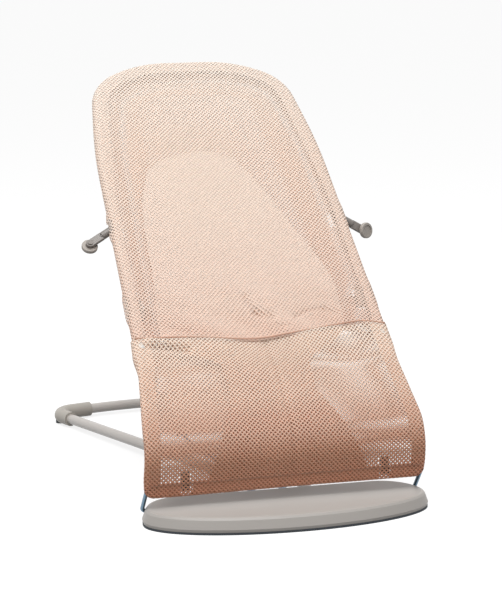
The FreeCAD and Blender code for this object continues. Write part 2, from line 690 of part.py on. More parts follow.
def bell_panel():
    n = CLOTH_T + SOFT_GAP
    right = [seat_at(x, s, n) for x, s in BELL]
    points = right[:0:-1] + [V(-p.x, p.y, p.z) for p in right[1:]]
    sides = bent_path(points[:4] + [right[0]] + points[4:], [200.0, 120.0, 60.0, 120.0, 60.0, 120.0, 200.0])
    closing = Part.LineSegment(points[-1], points[0]).toShape()
    return solid_of(Part.Face(Part.Wire(sides.Edges + [closing])).extrude(SEAT_N * CLOTH_T))


def profile_sheet(depth, half):
    """A sheet that follows the side profile from waist to hem, a given depth behind its face."""
    gap = 1.0
    front = shifted(PROFILE, depth)
    back = shifted(PROFILE, depth + CLOTH_T)
    drop = V(0, -SEAT_U.y, -SEAT_U.z) * gap
    outer = bent_path([V(-half, *p) for p in front], [KNEE_R - depth])
    inner = bent_path([V(-half, *p) for p in back], [KNEE_R - depth - CLOTH_T])
    caps = [Part.LineSegment(V(-half, *front[0]), V(-half, *back[0])).toShape(),
            Part.LineSegment(V(-half, *front[-1]), V(-half, *back[-1])).toShape()]
    face = Part.Face(Part.Wire(Part.__sortEdges__(outer.Edges + inner.Edges + caps)))
    sheet = face.extrude(X_AXIS * (2 * half))
    sheet.translate(drop)
    return sheet


def front_cut(top_half, hem_half):
    """A prism seen from the front: narrow at the waist, wide at the hem."""
    low = HEM[1] - 20
    top = SEAT_W[1] + 20
    points = [V(-hem_half, -60, low), V(hem_half, -60, low), V(top_half, -60, top), V(-top_half, -60, top)]
    return prism(points, V(0, 260, 0))


def lower_panel():
    waist_half = ARCH[0][0] + ARCH_R + EDGE_PAST_TUBE
    hem_half = WIRE_X + WIRE_R + EDGE_PAST_TUBE
    return solid_of(profile_sheet(0, hem_half + 5).common(front_cut(waist_half, hem_half)))


def crotch_panel():
    return solid_of(profile_sheet(CLOTH_T + SOFT_GAP, CROTCH_HEM).common(front_cut(CROTCH_TOP, CROTCH_HEM)))


SINGLE = {
    "plate_shell": plate_shell, "plate_pad": plate_pad, "ballast_plate": ballast_plate,
    "plate_screws": plate_screws, "rail_pins": rail_pins, "rear_bar": rear_bar,
    "elbow_screws": elbow_screws, "hinge_rod": hinge_rod, "spring_wire": spring_wire,
    "arch_tube": arch_tube, "hem_rod": hem_rod, "prop_tube": prop_tube,
    "upper_panel": upper_panel, "bell_panel": bell_panel, "lower_panel": lower_panel,
    "crotch_panel": crotch_panel,
}
PAIRED = {
    "rail": rail, "elbow": elbow, "rear_foot": rear_foot, "wire_bush": wire_bush,
    "spring_hub": spring_hub, "rack": rack, "seat_wire": seat_wire, "coupler": coupler,
    "hem_hook": hem_hook, "prop_bracket": prop_bracket, "prop_pin": prop_pin,
    "prop_eye": prop_eye, "foot_sleeve": foot_sleeve, "arm_clamp": arm_clamp,
    "restraint_arm": restraint_arm, "button": button, "button_rivet": button_rivet,
}

os.makedirs("parts", exist_ok=True)
for name, make in SINGLE.items():
    make().exportStep("parts/%s.step" % name)
for name, make in PAIRED.items():
    for word, side in SIDES.items():
        make(side).exportStep("parts/%s_%s.step" % (name, word))
print("hinge %.2f %.2f" % (HINGE_Y, HINGE_Z))
print("prop pin %.3f %.3f" % (PROP_PIN.y, PROP_PIN.z), "foot %.3f %.3f" % (FOOT.y, FOOT.z))
print("arm root", [round(c, 3) for c in ARM_ROOT], "direction", [round(c, 5) for c in ARM_DIR])
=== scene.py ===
"""Bouncer seat: knitted mesh sleeves over the seat frame, materials, floor, light and camera.

Lengths are in millimetres until they are put into a mesh. The seat plane has x across, s up the
seat from the waist seam and depth below the fabric's face."""

import bpy
import bmesh
import math
import numpy as np
from mathutils import Matrix, Vector


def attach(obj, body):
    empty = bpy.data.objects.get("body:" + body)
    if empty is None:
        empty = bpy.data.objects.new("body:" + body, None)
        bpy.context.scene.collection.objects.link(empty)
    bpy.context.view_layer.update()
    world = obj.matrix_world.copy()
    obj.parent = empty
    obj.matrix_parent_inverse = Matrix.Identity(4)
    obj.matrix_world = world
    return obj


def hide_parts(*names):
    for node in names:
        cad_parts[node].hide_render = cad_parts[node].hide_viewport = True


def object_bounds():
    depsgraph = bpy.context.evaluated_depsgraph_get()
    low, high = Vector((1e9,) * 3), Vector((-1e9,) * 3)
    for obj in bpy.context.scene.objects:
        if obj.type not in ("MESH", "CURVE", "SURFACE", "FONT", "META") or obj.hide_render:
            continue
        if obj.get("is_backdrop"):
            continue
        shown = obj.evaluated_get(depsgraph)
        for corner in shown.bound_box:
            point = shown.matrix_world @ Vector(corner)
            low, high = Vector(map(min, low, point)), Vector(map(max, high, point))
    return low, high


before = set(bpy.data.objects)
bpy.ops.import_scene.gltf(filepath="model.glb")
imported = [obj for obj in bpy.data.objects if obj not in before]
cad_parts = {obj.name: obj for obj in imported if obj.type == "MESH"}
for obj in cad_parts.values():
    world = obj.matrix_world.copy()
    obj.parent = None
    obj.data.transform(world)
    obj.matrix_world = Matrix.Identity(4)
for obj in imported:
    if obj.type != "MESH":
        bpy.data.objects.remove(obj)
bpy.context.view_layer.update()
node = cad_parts

MM = 0.001
SEAT_SLOPE = math.radians(39.4)
WAIST = np.array((0.0, 116.0, 226.0))
SEAT_UP = np.array((0.0, math.cos(SEAT_SLOPE), math.sin(SEAT_SLOPE)))
SEAT_BACK = np.array((0.0, math.sin(SEAT_SLOPE), -math.cos(SEAT_SLOPE)))
ARCH = [(173, -120), (158, 350), (139, 480), (70, 517)]
ARCH_BENDS = [900, 68, 160, 160, 68, 900]
ARCH_DEPTH = 9.5
SLEEVE_R = 8.4          # mesh round the 14 mm arch tube
FACE = 1.1              # middle of the front mesh below the fabric's face
PROFILE = [(1, 40), (-10, 106), (116, 226)]   # Y, Z of the seat's front line, hem to waist
KNEE_R = 60
HEM_R = 4.4             # fold of the mesh round the side wires and the hem
HOOK_X = 137            # the hooks that hold the hem rod, left and right
ARM_S = 206             # where the arms leave the arch tube
CLAMP_S = (195.5, 220.5)    # openings in the sleeve for the arm clamps
BRACKET_S = (44.5, 75.5)    # and for the prop's brackets
CELL = 4.24             # from hole to hole along the slanting rows, so 6 mm across


# ---- numbers ----
def unit(v):
    return v / np.linalg.norm(v, axis=-1, keepdims=True)


def bent_line(corners, bends, step=2.0):
    """Evenly spaced points along straight runs joined by tangent arcs."""
    corners = [np.array(c, float) for c in corners]
    line = [corners[0]]
    for before, corner, after, r in zip(corners, corners[1:], corners[2:], bends):
        into, out = unit(before - corner), unit(after - corner)
        half = (math.pi - math.acos(float(into @ out))) / 2
        start, end = corner + into * r * math.tan(half), corner + out * r * math.tan(half)
        middle = corner + unit(into + out) * r / math.cos(half)
        first = math.atan2(*(start - middle)[::-1])
        turn = (math.atan2(*(end - middle)[::-1]) - first + math.pi) % (2 * math.pi) - math.pi
        for a in np.linspace(first, first + turn, max(8, int(abs(turn) * r / step))):
            line.append(middle + r * np.array((math.cos(a), math.sin(a))))
    line.append(corners[-1])
    return even(np.array(line), step)


def even(line, step):
    run = np.concatenate(([0], np.cumsum(np.linalg.norm(np.diff(line, axis=0), axis=1))))
    at = np.linspace(0, run[-1], max(2, int(run[-1] / step) + 1))
    return np.stack([np.interp(at, run, line[:, k]) for k in range(line.shape[1])], -1)


def from_path(points, line):
    """Foot on the path, outward direction (right of travel) and signed distance outwards."""
    run = np.concatenate(([0], np.cumsum(np.linalg.norm(np.diff(line, axis=0), axis=1))))
    way = unit(np.gradient(line, axis=0))
    foot, out = np.empty_like(points), np.empty_like(points)
    for lo in range(0, len(points), 8000):
        p = points[lo:lo + 8000]
        near = ((p[:, None] - line[None]) ** 2).sum(2).argmin(1)
        at = run[near] + ((p - line[near]) * way[near]).sum(1)
        foot[lo:lo + 8000] = np.stack([np.interp(at, run, line[:, k]) for k in (0, 1)], -1)
        w = unit(np.stack([np.interp(at, run, way[:, k]) for k in (0, 1)], -1))
        out[lo:lo + 8000] = np.stack((w[:, 1], -w[:, 0]), -1)
    return foot, out, ((points - foot) * out).sum(1)


def smooth(a, lo, hi):
    t = np.clip((a - lo) / (hi - lo), 0, 1)
    return t * t * (3 - 2 * t)


def stroke(p, corners, wide, deep):
    """A soft valley along a line of corners."""
    best = np.full(len(p), 1e9)
    corners = np.array(corners, float)
    for a, b in zip(corners, corners[1:]):
        t = np.clip(((p - a) @ (b - a)) / ((b - a) @ (b - a)), 0, 1)
        best = np.minimum(best, np.linalg.norm(p - a - t[:, None] * (b - a), axis=1))
    return deep * np.exp(-(best / wide) ** 2)


# ---- where the fabric lies ----
def seat(x, s, depth):
    return WAIST + np.stack((x, 0 * x, 0 * x), -1) + s[:, None] * SEAT_UP + depth[:, None] * SEAT_BACK


PROFILE_LINE = bent_line(PROFILE, [KNEE_R], 1.0)
PROFILE_RUN = np.concatenate(([0], np.cumsum(np.linalg.norm(np.diff(PROFILE_LINE, axis=0), axis=1))))
PROFILE_WAY = unit(np.gradient(PROFILE_LINE, axis=0))
RISE = float(PROFILE_RUN[-1])       # hem to waist along the front


def front(x, q, depth):
    """q is the way up the front line from the hem."""
    y, z = (np.interp(q, PROFILE_RUN, PROFILE_LINE[:, k]) for k in (0, 1))
    ty, tz = (np.interp(q, PROFILE_RUN, PROFILE_WAY[:, k]) for k in (0, 1))
    over = q - np.clip(q, 0, RISE)
    return np.stack((x, y + ty * over + tz * depth, z + tz * over - ty * depth), -1)


SEAM_X = (-195, -179, -113, -71, -30, 0, 43, 89, 134, 150, 175, 195)
SEAM_S = (1, 1, -1, -5, -11, -12, -5, 2, 8, 9, 1, 1)


def seam(x):
    """Height of the waist seam: it hangs a little in the middle and to the left."""
    return sum(np.interp(x + k, SEAM_X, SEAM_S) for k in (-12, -6, 0, 6, 12)) / 5


ARCH_LINE = bent_line(ARCH + [(-x, s) for x, s in ARCH[::-1]], ARCH_BENDS)
CREASES = [([(-8, 66), (-4, 50), (4, 38)], 6, 3.5), ([(2, 36), (20, 30)], 8, 6.0),
           ([(52, 24), (75, 35), (98, 37), (116, 28)], 4, 4.5), ([(-146, 26), (-118, 15), (-100, 11)], 5, 4.0),
           ([(24, 12), (40, 10)], 4, 3.0), ([(98, 34), (112, 26)], 6, 4.0)]


def hollow(x, s):
    """How far the fabric hangs behind the flat seat plane."""
    p = np.stack((x, s), -1)
    room = np.clip(1 - (x / 166) ** 2, 0, 1)
    deep = 4.5 * room * smooth(s, -10, 150) * (1 - smooth(s, 330, 500))
    return deep + room * sum(stroke(p, line, wide, d) for line, wide, d in CREASES) * smooth(s - seam(x), 0, 14)


def wrap(d, r, face):
    """Across and depth for mesh that passes a tube at distance d: flat, round it, then back inside."""
    a = np.clip(d / r, 0, math.pi)
    past = np.clip(d - math.pi * r, 0, None)
    return np.where(d < 0, d, r * np.sin(a) - past), face + r - r * np.cos(a)


def sleeve_r(s):
    """The mesh swells a little where it passes over the clips on the tube."""
    over = smooth(s, 26, 46) * (1 - smooth(s, 74, 94)) + smooth(s, 176, 196) * (1 - smooth(s, 220, 240))
    return SLEEVE_R + 1.9 * over


def upper_front(u, v):
    p = np.stack((u, v), -1)
    foot, out, d = from_path(p, ARCH_LINE)
    across, depth = wrap(d, sleeve_r(foot[:, 1]), FACE)
    moved = foot + out * across[:, None]
    s = moved[:, 1] + seam(moved[:, 0]) * (1 - smooth(v, 0, 90))
    inner = smooth(-d, 0, 30)
    return seat(moved[:, 0], s, depth + inner * hollow(moved[:, 0], s) * 0.75)


def upper_back(u, v):
    p = np.stack((u, v), -1)
    _, _, d = from_path(p, ARCH_LINE)
    inner = smooth(-d, 0, 75)
    return seat(u, v, FACE + 2 * SLEEVE_R + 0.3 - 12.5 * inner + inner * hollow(u, v) * 1.2)


FRAME_X = (186.5, 188.5, 189, 187, 169.2)   # half spacing of the side wires by height
FRAME_Q = (0, 8, 25, 90, RISE)


def side_half(q):
    return np.interp(q, FRAME_Q, FRAME_X)


def lower_outline():
    right = [(float(side_half(q)), q) for q in (RISE + 60, RISE, 90, 25, HEM_R)]
    return bent_line([(-x, q) for x, q in right] + right[::-1], [900, 200, 120, 9, 9, 120, 200, 900])


LOWER_LINE = lower_outline()


def fold_r(q):
    """The fold is as deep as the arch tube at the waist and as the wires lower down."""
    return HEM_R + (SLEEVE_R - HEM_R + 0.6) * smooth(q, RISE - 62, RISE - 22)


def droop(x, q):
    """The hem hangs a few millimetres below its rod, most on the left."""
    return (3.2 + 2.0 * smooth(-x, -60, 180)) * (1 - smooth(q, 15, 110))


def lower_shape(x, q):
    p = np.stack((x, q - RISE), -1)
    middle = stroke(np.stack((x, q), -1), [(0, RISE - 8), (6, RISE - 60), (10, 10)], 5, 1.8)
    fold = stroke(p, [(-180, -9), (-140, -15), (-108, -21)], 5, 4.5)
    swell = stroke(p, [(-172, 0), (-140, -5), (-105, -9)], 5, -2.0)
    pull = 1.2 * np.sin(x / 23 + q / 30) * smooth(q, 30, 90) * (1 - smooth(np.abs(x), 120, 170))
    return middle + fold + swell + pull


def lower_front(u, v):
    foot, out, d = from_path(np.stack((u, v), -1), LOWER_LINE)
    across, depth = wrap(d, fold_r(v), FACE)
    moved = foot + out * across[:, None]
    q = moved[:, 1] + seam(moved[:, 0]) * smooth(v, RISE - 70, RISE)
    inner = smooth(-d, 0, 16)
    return front(moved[:, 0], q - droop(moved[:, 0], q), depth + inner * lower_shape(moved[:, 0], q))


def lower_back(u, v):
    foot, out, d = from_path(np.stack((u, v), -1), LOWER_LINE)
    return front(u, v - droop(u, v), FACE + 2 * fold_r(v) + 0.2 + 2.0 * smooth(-d, 0, 60))


# ---- meshes ----
def finish_piece(bm, name, material, body="seat"):
    mesh = bpy.data.meshes.new(name)
    bm.to_mesh(mesh)
    bm.free()
    mesh.polygons.foreach_set("use_smooth", np.ones(len(mesh.polygons), bool))
    mesh.materials.append(material)
    piece = bpy.data.objects.new(name, mesh)
    bpy.context.scene.collection.objects.link(piece)
    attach(piece, body)
    return piece


def flat_grid(box, nx, ny):
    """A grid of faces whose vertices hold their flat place on the cloth."""
    bm = bmesh.new()
    bmesh.ops.create_grid(bm, x_segments=nx, y_segments=ny, size=1)
    x0, x1, y0, y1 = box
    for v in bm.verts:
        v.co = ((v.co.x + 1) / 2 * (x1 - x0) + x0, (v.co.y + 1) / 2 * (y1 - y0) + y0, 0)
    return bm


def lay(bm, place):
    """Moves every vertex from its flat place to where the cloth lies; its height stands off the cloth."""
    flat = np.array([v.co for v in bm.verts])
    u, v, w = flat.T
    at = place(u, v)
    off = unit(np.cross(place(u + 0.4, v) - place(u - 0.4, v), place(u, v + 0.4) - place(u, v - 0.4)))
    at = (at + off * w[:, None]) * MM
    for vert, co in zip(bm.verts, at):
        vert.co = co


def net(name, box, keep, place, material, strand=2.2, rise=0.32, cell=CELL):
    """Knitted mesh: slanting rows of holes between strands that are domed on both faces."""
    x0, x1, y0, y1 = box
    reach = ((x1 - x0) + (y1 - y0)) / math.sqrt(2)
    n = math.ceil(reach / cell)
    size = n * cell / 2
    bm = flat_grid((-size, size, -size, size), n, n)
    bmesh.ops.rotate(bm, verts=bm.verts, cent=(0, 0, 0), matrix=Matrix.Rotation(math.pi / 4, 3, "Z"))
    bmesh.ops.translate(bm, verts=bm.verts, vec=((x0 + x1) / 2, (y0 + y1) / 2, 0))
    cells = list(bm.faces)
    middle = np.array([f.calc_center_median()[:2] for f in cells])
    u, v = middle.T
    wanted = (u > x0) & (u < x1) & (v > y0) & (v < y1)
    wanted[wanted] = keep(u[wanted], v[wanted])
    area = float(wanted.sum()) * (cell * MM) ** 2
    bmesh.ops.delete(bm, geom=[f for f, w in zip(cells, wanted) if not w], context="FACES")
    ridge = set(bm.verts)
    faces = list(bm.faces)
    ring = set(bmesh.ops.inset_individual(bm, faces=faces, thickness=strand / 2, use_even_offset=True)["faces"])
    bmesh.ops.delete(bm, geom=[f for f in bm.faces if f not in ring], context="FACES_ONLY")
    raised = [v for v in bm.verts if v in ridge]
    rim = [e for e in bm.edges if e.is_boundary and e.verts[0] in ridge and e.verts[1] in ridge]
    twin = bmesh.ops.duplicate(bm, geom=list(bm.verts) + list(bm.edges) + list(bm.faces))
    copy = twin["vert_map"]
    lowered = [copy[v] for v in raised]
    bmesh.ops.reverse_faces(bm, faces=[g for g in twin["geom"] if isinstance(g, bmesh.types.BMFace)])
    bmesh.ops.translate(bm, verts=raised, vec=(0, 0, rise))
    bmesh.ops.translate(bm, verts=lowered, vec=(0, 0, -rise))
    edge = bmesh.ops.extrude_edge_only(bm, edges=rim)["geom"]
    bmesh.ops.translate(bm, verts=[g for g in edge if isinstance(g, bmesh.types.BMVert)], vec=(0, 0, -2 * rise))
    bmesh.ops.remove_doubles(bm, verts=bm.verts, dist=0.01)
    bmesh.ops.recalc_face_normals(bm, faces=bm.faces)
    lay(bm, place)
    return finish_piece(bm, name, material), area


def cloth(name, box, nx, ny, place, material, thick=0.5, skip=None):
    """Close-knitted cloth: a laid grid given its thickness."""
    bm = flat_grid(box, nx, ny)
    if skip:
        cells = list(bm.faces)
        middle = np.array([f.calc_center_median()[:2] for f in cells])
        out = skip(middle[:, 0], middle[:, 1])
        bmesh.ops.delete(bm, geom=[f for f, gone in zip(cells, out) if gone], context="FACES")
    lay(bm, place)
    piece = finish_piece(bm, name, material)
    wall = piece.modifiers.new("thickness", "SOLIDIFY")
    wall.thickness = thick * MM
    wall.offset = 0
    return piece


def cord(name, points, r, material, sides=8):
    """A rolled seam or thread: rings along points, bridged into a closed round length."""
    points = np.array(points, float)
    way = unit(np.gradient(points, axis=0))
    bm = bmesh.new()
    side = unit(np.cross(way[0], (0.3, 0.2, 1.0)))
    before = []
    for k, (p, w) in enumerate(zip(points, way)):
        side = unit(side - w * (side @ w))
        turn = Matrix((side, np.cross(w, side), w)).transposed().to_4x4()
        ring = bmesh.ops.create_circle(bm, cap_ends=k in (0, len(points) - 1), segments=sides, radius=r * MM,
                                       matrix=Matrix.Translation(Vector(p * MM)) @ turn)["verts"]
        edges = list({e for v in ring for e in v.link_edges})
        if before:
            bmesh.ops.bridge_loops(bm, edges=before + edges)
        before = edges
    bmesh.ops.recalc_face_normals(bm, faces=bm.faces)
    return finish_piece(bm, name, material)


# ---- materials ----
def colour(hexes):
    """sRGB hex to linear RGBA."""
    parts = [int(hexes[k:k + 2], 16) / 255 for k in (0, 2, 4)]
    return tuple(c / 12.92 if c <= 0.04045 else ((c + 0.055) / 1.055) ** 2.4 for c in parts) + (1.0,)


def add(tree, kind, settings=None, **inputs):
    """One node: settings are its properties, inputs its sockets by name or number; a socket value is linked."""
    made = tree.nodes.new("ShaderNode" + kind)
    for key, value in (settings or {}).items():
        setattr(made, key, value)
    for key, value in inputs.items():
        numbered = key[0] == "_" and key[1:].isdigit()
        socket = made.inputs[int(key[1:]) if numbered else key.replace("_", " ")]
        if isinstance(value, bpy.types.NodeSocket):
            tree.links.new(value, socket)
        else:
            socket.default_value = value
    return made


def new_material(name):
    mat = bpy.data.materials.new(name)
    mat.use_nodes = True
    mat.node_tree.nodes.clear()
    return mat, mat.node_tree


def surface(tree, shader):
    add(tree, "OutputMaterial", Surface=shader)


def solid(name, hexes, rough, metal=0.0, period=1.0, bump=0.05, vary=0.06, coat=0.0, ior=1.5):
    """Moulded, painted or plated finish: relief whose grains are period millimetres, and 60 mm blotches
    that make the colour and the gloss a little uneven."""
    mat, tree = new_material(name)
    place = add(tree, "TexCoord").outputs["Object"]
    fine = add(tree, "TexNoise", Vector=place, Scale=1000 / period, Detail=2.0).outputs["Fac"]
    wide = add(tree, "TexNoise", Vector=place, Scale=1000 / 60, Detail=2.0).outputs["Fac"]
    base = colour(hexes)
    dark = tuple(c * (1 - vary) for c in base[:3]) + (1.0,)
    light = tuple(min(1, c * (1 + vary)) for c in base[:3]) + (1.0,)
    tint = add(tree, "Mix", {"data_type": "RGBA"}, _0=wide, _6=dark, _7=light)
    shine = add(tree, "MapRange", Value=wide, _3=rough - 0.05, _4=rough + 0.05)
    relief = add(tree, "Bump", Height=fine, Strength=bump, Distance=0.0002)
    shader = add(tree, "BsdfPrincipled", Base_Color=tint.outputs[2], Roughness=shine.outputs[0], Metallic=metal,
                 IOR=ior, Coat_Weight=coat, Normal=relief.outputs[0])
    surface(tree, shader.outputs[0])
    return mat


def knit(name, stops, thread, rough=0.8, bump=0.35, through=0.42, loops=False):
    """Polyester knit whose thread is thread millimetres. stops are (height in metres, colour), and where the
    colour grows darker towards the hem that is painted shade. through is the share of light that passes into the
    cloth instead of off it, and loops adds the ribs of a close knit."""
    mat, tree = new_material(name)
    place = add(tree, "TexCoord").outputs["Object"]
    height = add(tree, "SeparateXYZ", Vector=place).outputs["Z"]
    low, high = stops[0][0], stops[-1][0]
    along = add(tree, "MapRange", Value=height, _1=low, _2=high)
    ramp = add(tree, "ValToRGB", Fac=along.outputs[0])
    ramp.color_ramp.interpolation = "EASE"
    marks = ramp.color_ramp.elements
    for k, (z, hexes) in enumerate(stops):
        if k == 0:
            mark = marks[0]
        elif k == len(stops) - 1:
            mark = marks[-1]
        else:
            mark = marks.new((z - low) / (high - low))
        mark.color = colour(hexes)
    fuzz = add(tree, "TexNoise", Vector=place, Scale=1000 / thread, Detail=3.0).outputs["Fac"]
    if loops:
        ribs = add(tree, "TexVoronoi", {"feature": "F1"}, Vector=place, Scale=1000 / (thread * 1.9), Randomness=0.2)
        lift = add(tree, "Math", {"operation": "MULTIPLY_ADD"}, _0=ribs.outputs["Distance"], _1=-0.6, _2=fuzz)
    else:
        lift = add(tree, "Math", {"operation": "MULTIPLY"}, _0=fuzz, _1=1.0)
    # the colour follows the relief: random tone from the fuzz, and with loops a painted shade in the grooves
    # between the ribs
    tint = add(tree, "HueSaturation", Color=ramp.outputs[0], Saturation=1.0,
               Value=add(tree, "MapRange", Value=lift.outputs[0], _1=-0.2, _2=1.0, _3=0.86, _4=1.08).outputs[0])
    relief = add(tree, "Bump", Height=lift.outputs[0], Strength=bump, Distance=0.0004)
    cover = add(tree, "BsdfPrincipled", Base_Color=tint.outputs[0], Roughness=rough, IOR=1.5,
                Sheen_Weight=0.25, Sheen_Roughness=0.4, Normal=relief.outputs[0])
    back = add(tree, "BsdfTranslucent", Color=tint.outputs[0])
    both = add(tree, "MixShader", _0=through, _1=cover.outputs[0], _2=back.outputs[0])
    surface(tree, both.outputs[0])
    return mat


UPPER_SHADE_STOPS = [(0.20, "F8DFCF"), (0.26, "F9E7DA"), (0.40, "FAECE0"), (0.56, "FBF2E9")]
LOWER_SHADE_STOPS = [(0.04, "E2AA8C"), (0.08, "E2B497"), (0.12, "EDCDB8"), (0.16, "F8E4D4"), (0.226, "FCEFE2")]
REAR_SHADE_STOPS = [(0.04, "CB9A80"), (0.15, "EBC8B3"), (0.30, "F5DCCC"), (0.56, "F8E8DC")]
LINING_STOPS = [(0.20, "F3DCCB"), (0.30, "F3E2D5"), (0.45, "F1E0D3")]
GUSSET_SHADE_STOPS = [(0.04, "BC7F60"), (0.10, "CB9170"), (0.16, "DFB193"), (0.226, "F2D2BC")]
SEAM_SHADE_STOPS = [(0.04, "B98F79"), (0.226, "DDB9A4"), (0.30, "E8D3C5"), (0.56, "F0E4DA")]
# warp-knitted polyester: matt, pale, and lit through, so its shaded side stays warm; its colour is painted a little
# darker lower down, as shade
mesh_upper = knit("warp_knit_mesh_pale", UPPER_SHADE_STOPS, 0.5)
# the same knit over the legs: pale at the waist and darker towards the hem; the darkening is painted shade for
# cloth that faces away from the light low down
mesh_lower = knit("warp_knit_mesh_painted_shade", LOWER_SHADE_STOPS, 0.5)
# the same knit behind the seat: a second layer that darkens the holes of the first; its colour is painted darker
# towards the hem, as shade
mesh_back = knit("warp_knit_mesh_rear", REAR_SHADE_STOPS, 0.5)
# close tricot, 1.5 mm ribs: a smooth pale shape with no holes behind the mesh
tricot = knit("close_tricot_lining", LINING_STOPS, 0.8, loops=True, bump=0.15, through=0.25)
# the same tricot in the lap: a deeper shape behind the lower mesh; its colour is painted darker towards the hem, as
# shade
gusset = knit("close_tricot_gusset", GUSSET_SHADE_STOPS, 0.8, loops=True, bump=0.15, through=0.2)
# mesh rolled and stitched: a thin line darker than the cloth, and painted darker towards the hem as shade
piping = knit("rolled_mesh_seam", SEAM_SHADE_STOPS, 0.4)
# injection-moulded ABS: a satin top with a wide soft highlight
plate_abs = solid("moulded_abs_warm_grey", "A39E99", 0.42, period=0.7, bump=0.10, vary=0.02)
# moulded rubber: a dull dark line under the plate
sole_rubber = solid("moulded_rubber_slate", "34393F", 0.7, period=0.5, bump=0.2)
# zinc-plated steel: small bright fasteners
zinc_steel = solid("zinc_plated_steel", "A9ABAD", 0.3, metal=1.0, period=0.6, bump=0.05)
# powder-coated tube: one soft line of light along its length
frame_paint = solid("powder_coated_steel", "C6C1BC", 0.3, period=0.9, bump=0.06, vary=0.02, coat=0.25)
# moulded nylon: duller and slightly browner than the tubes it joins
elbow_nylon = solid("moulded_nylon_grey", "B2ADA5", 0.5, period=0.6, bump=0.12, vary=0.03)
# black nylon: dark clips and racks that show as plain shapes
black_nylon = solid("moulded_nylon_black", "1E1E20", 0.45, period=0.6, bump=0.1)
# blued spring steel: a thin blue-grey gleam
blued_steel = solid("blued_spring_steel", "6F8799", 0.25, metal=1.0, period=0.5, bump=0.05)
# taupe nylon: the darkest grey beside the cloth, with a slight gloss
arm_nylon = solid("moulded_nylon_taupe", "76706B", 0.34, period=0.6, bump=0.08, vary=0.03)
# paler nylon: round buttons that stand out from their arms
button_nylon = solid("moulded_nylon_button", "9A938C", 0.42, period=0.6, bump=0.08, vary=0.03)

FINISH = {
    plate_abs: ("plate_shell",),
    sole_rubber: ("plate_pad", "rear_foot_left", "rear_foot_right"),
    zinc_steel: ("ballast_plate", "plate_screws", "rail_pins", "elbow_screws", "hinge_rod", "hem_rod",
                 "prop_pin_left", "prop_pin_right"),
    frame_paint: ("rail_left", "rail_right", "rear_bar", "arch_tube", "prop_tube", "coupler_left", "coupler_right"),
    elbow_nylon: ("elbow_left", "elbow_right", "prop_bracket_left", "prop_bracket_right"),
    black_nylon: ("wire_bush_left", "wire_bush_right", "spring_hub_left", "spring_hub_right", "rack_left",
                  "rack_right", "hem_hook_left", "hem_hook_right",
                  "prop_eye_left", "prop_eye_right",
                  "foot_sleeve_left", "foot_sleeve_right"),
    blued_steel: ("spring_wire", "seat_wire_left", "seat_wire_right"),
    arm_nylon: ("arm_clamp_left", "arm_clamp_right", "restraint_arm_left", "restraint_arm_right",
                "button_rivet_left", "button_rivet_right"),
    button_nylon: ("button_left", "button_right"),
}
for material, names in FINISH.items():
    for name in names:
        node[name].data.materials.clear()
        node[name].data.materials.append(material)

# ---- upper mesh sleeve ----
def in_notch(s):
    return ((s > CLAMP_S[0]) & (s < CLAMP_S[1])) | ((s > BRACKET_S[0]) & (s < BRACKET_S[1]))


def keep_upper_front(u, v):
    _, _, d = from_path(np.stack((u, v), -1), ARCH_LINE)
    stem = (np.abs(v - ARM_S) < 10) & (d > 13)
    return (d < math.pi * sleeve_r(v) - 1) & ~((d > 20) & in_notch(v)) & ~stem


def keep_upper_back(u, v):
    _, _, d = from_path(np.stack((u, v), -1), ARCH_LINE)
    return (d < -1) & ~((np.abs(u) > 149) & in_notch(v))


upper, upper_area = net("upper_mesh_front", (-204, 204, -2, 562), keep_upper_front, upper_front,
                        mesh_upper)
rear, rear_area = net("upper_mesh_back", (-178, 178, -2, 524), keep_upper_back, upper_back,
                      mesh_back, strand=3.0)
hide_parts("upper_panel")

# ---- lower mesh sleeve ----
def keep_lower_front(u, v):
    _, _, d = from_path(np.stack((u, v), -1), LOWER_LINE)
    return d < math.pi * fold_r(v) - 1


def keep_lower_back(u, v):
    _, _, d = from_path(np.stack((u, v), -1), LOWER_LINE)
    return (d < 0) & ~((np.abs(np.abs(u) - HOOK_X) < 9) & (v < 31))


lower, lower_area = net("lower_mesh_front", (-216, 216, -18, RISE + 1), keep_lower_front, lower_front,
                        mesh_lower)
under, under_area = net("lower_mesh_back", (-195, 195, 2, RISE + 2), keep_lower_back, lower_back,
                        mesh_back, cell=4.33, strand=2.4)
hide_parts("lower_panel")

# ---- bell-shaped lining behind the upper mesh ----
BELL_LEFT = [(-142, 0), (-142, 25), (-131, 119), (-127, 193), (-119, 251), (-100, 306)]
BELL_TOP = [(-100, 306), (-78, 326), (-45, 339), (3, 343), (30, 326), (52, 290)]
BELL_RIGHT = [(122, 0), (124, 32), (126, 85), (115, 128), (96, 176), (72, 243), (52, 290)]


def along(line, t):
    line = np.array(line, float)
    run = np.concatenate(([0], np.cumsum(np.linalg.norm(np.diff(line, axis=0), axis=1))))
    t = t * run[-1]
    soft = 7.0
    return sum(np.stack([np.interp(t + k, run, line[:, m]) for m in (0, 1)], -1) for k in (-soft, 0, soft)) / 3


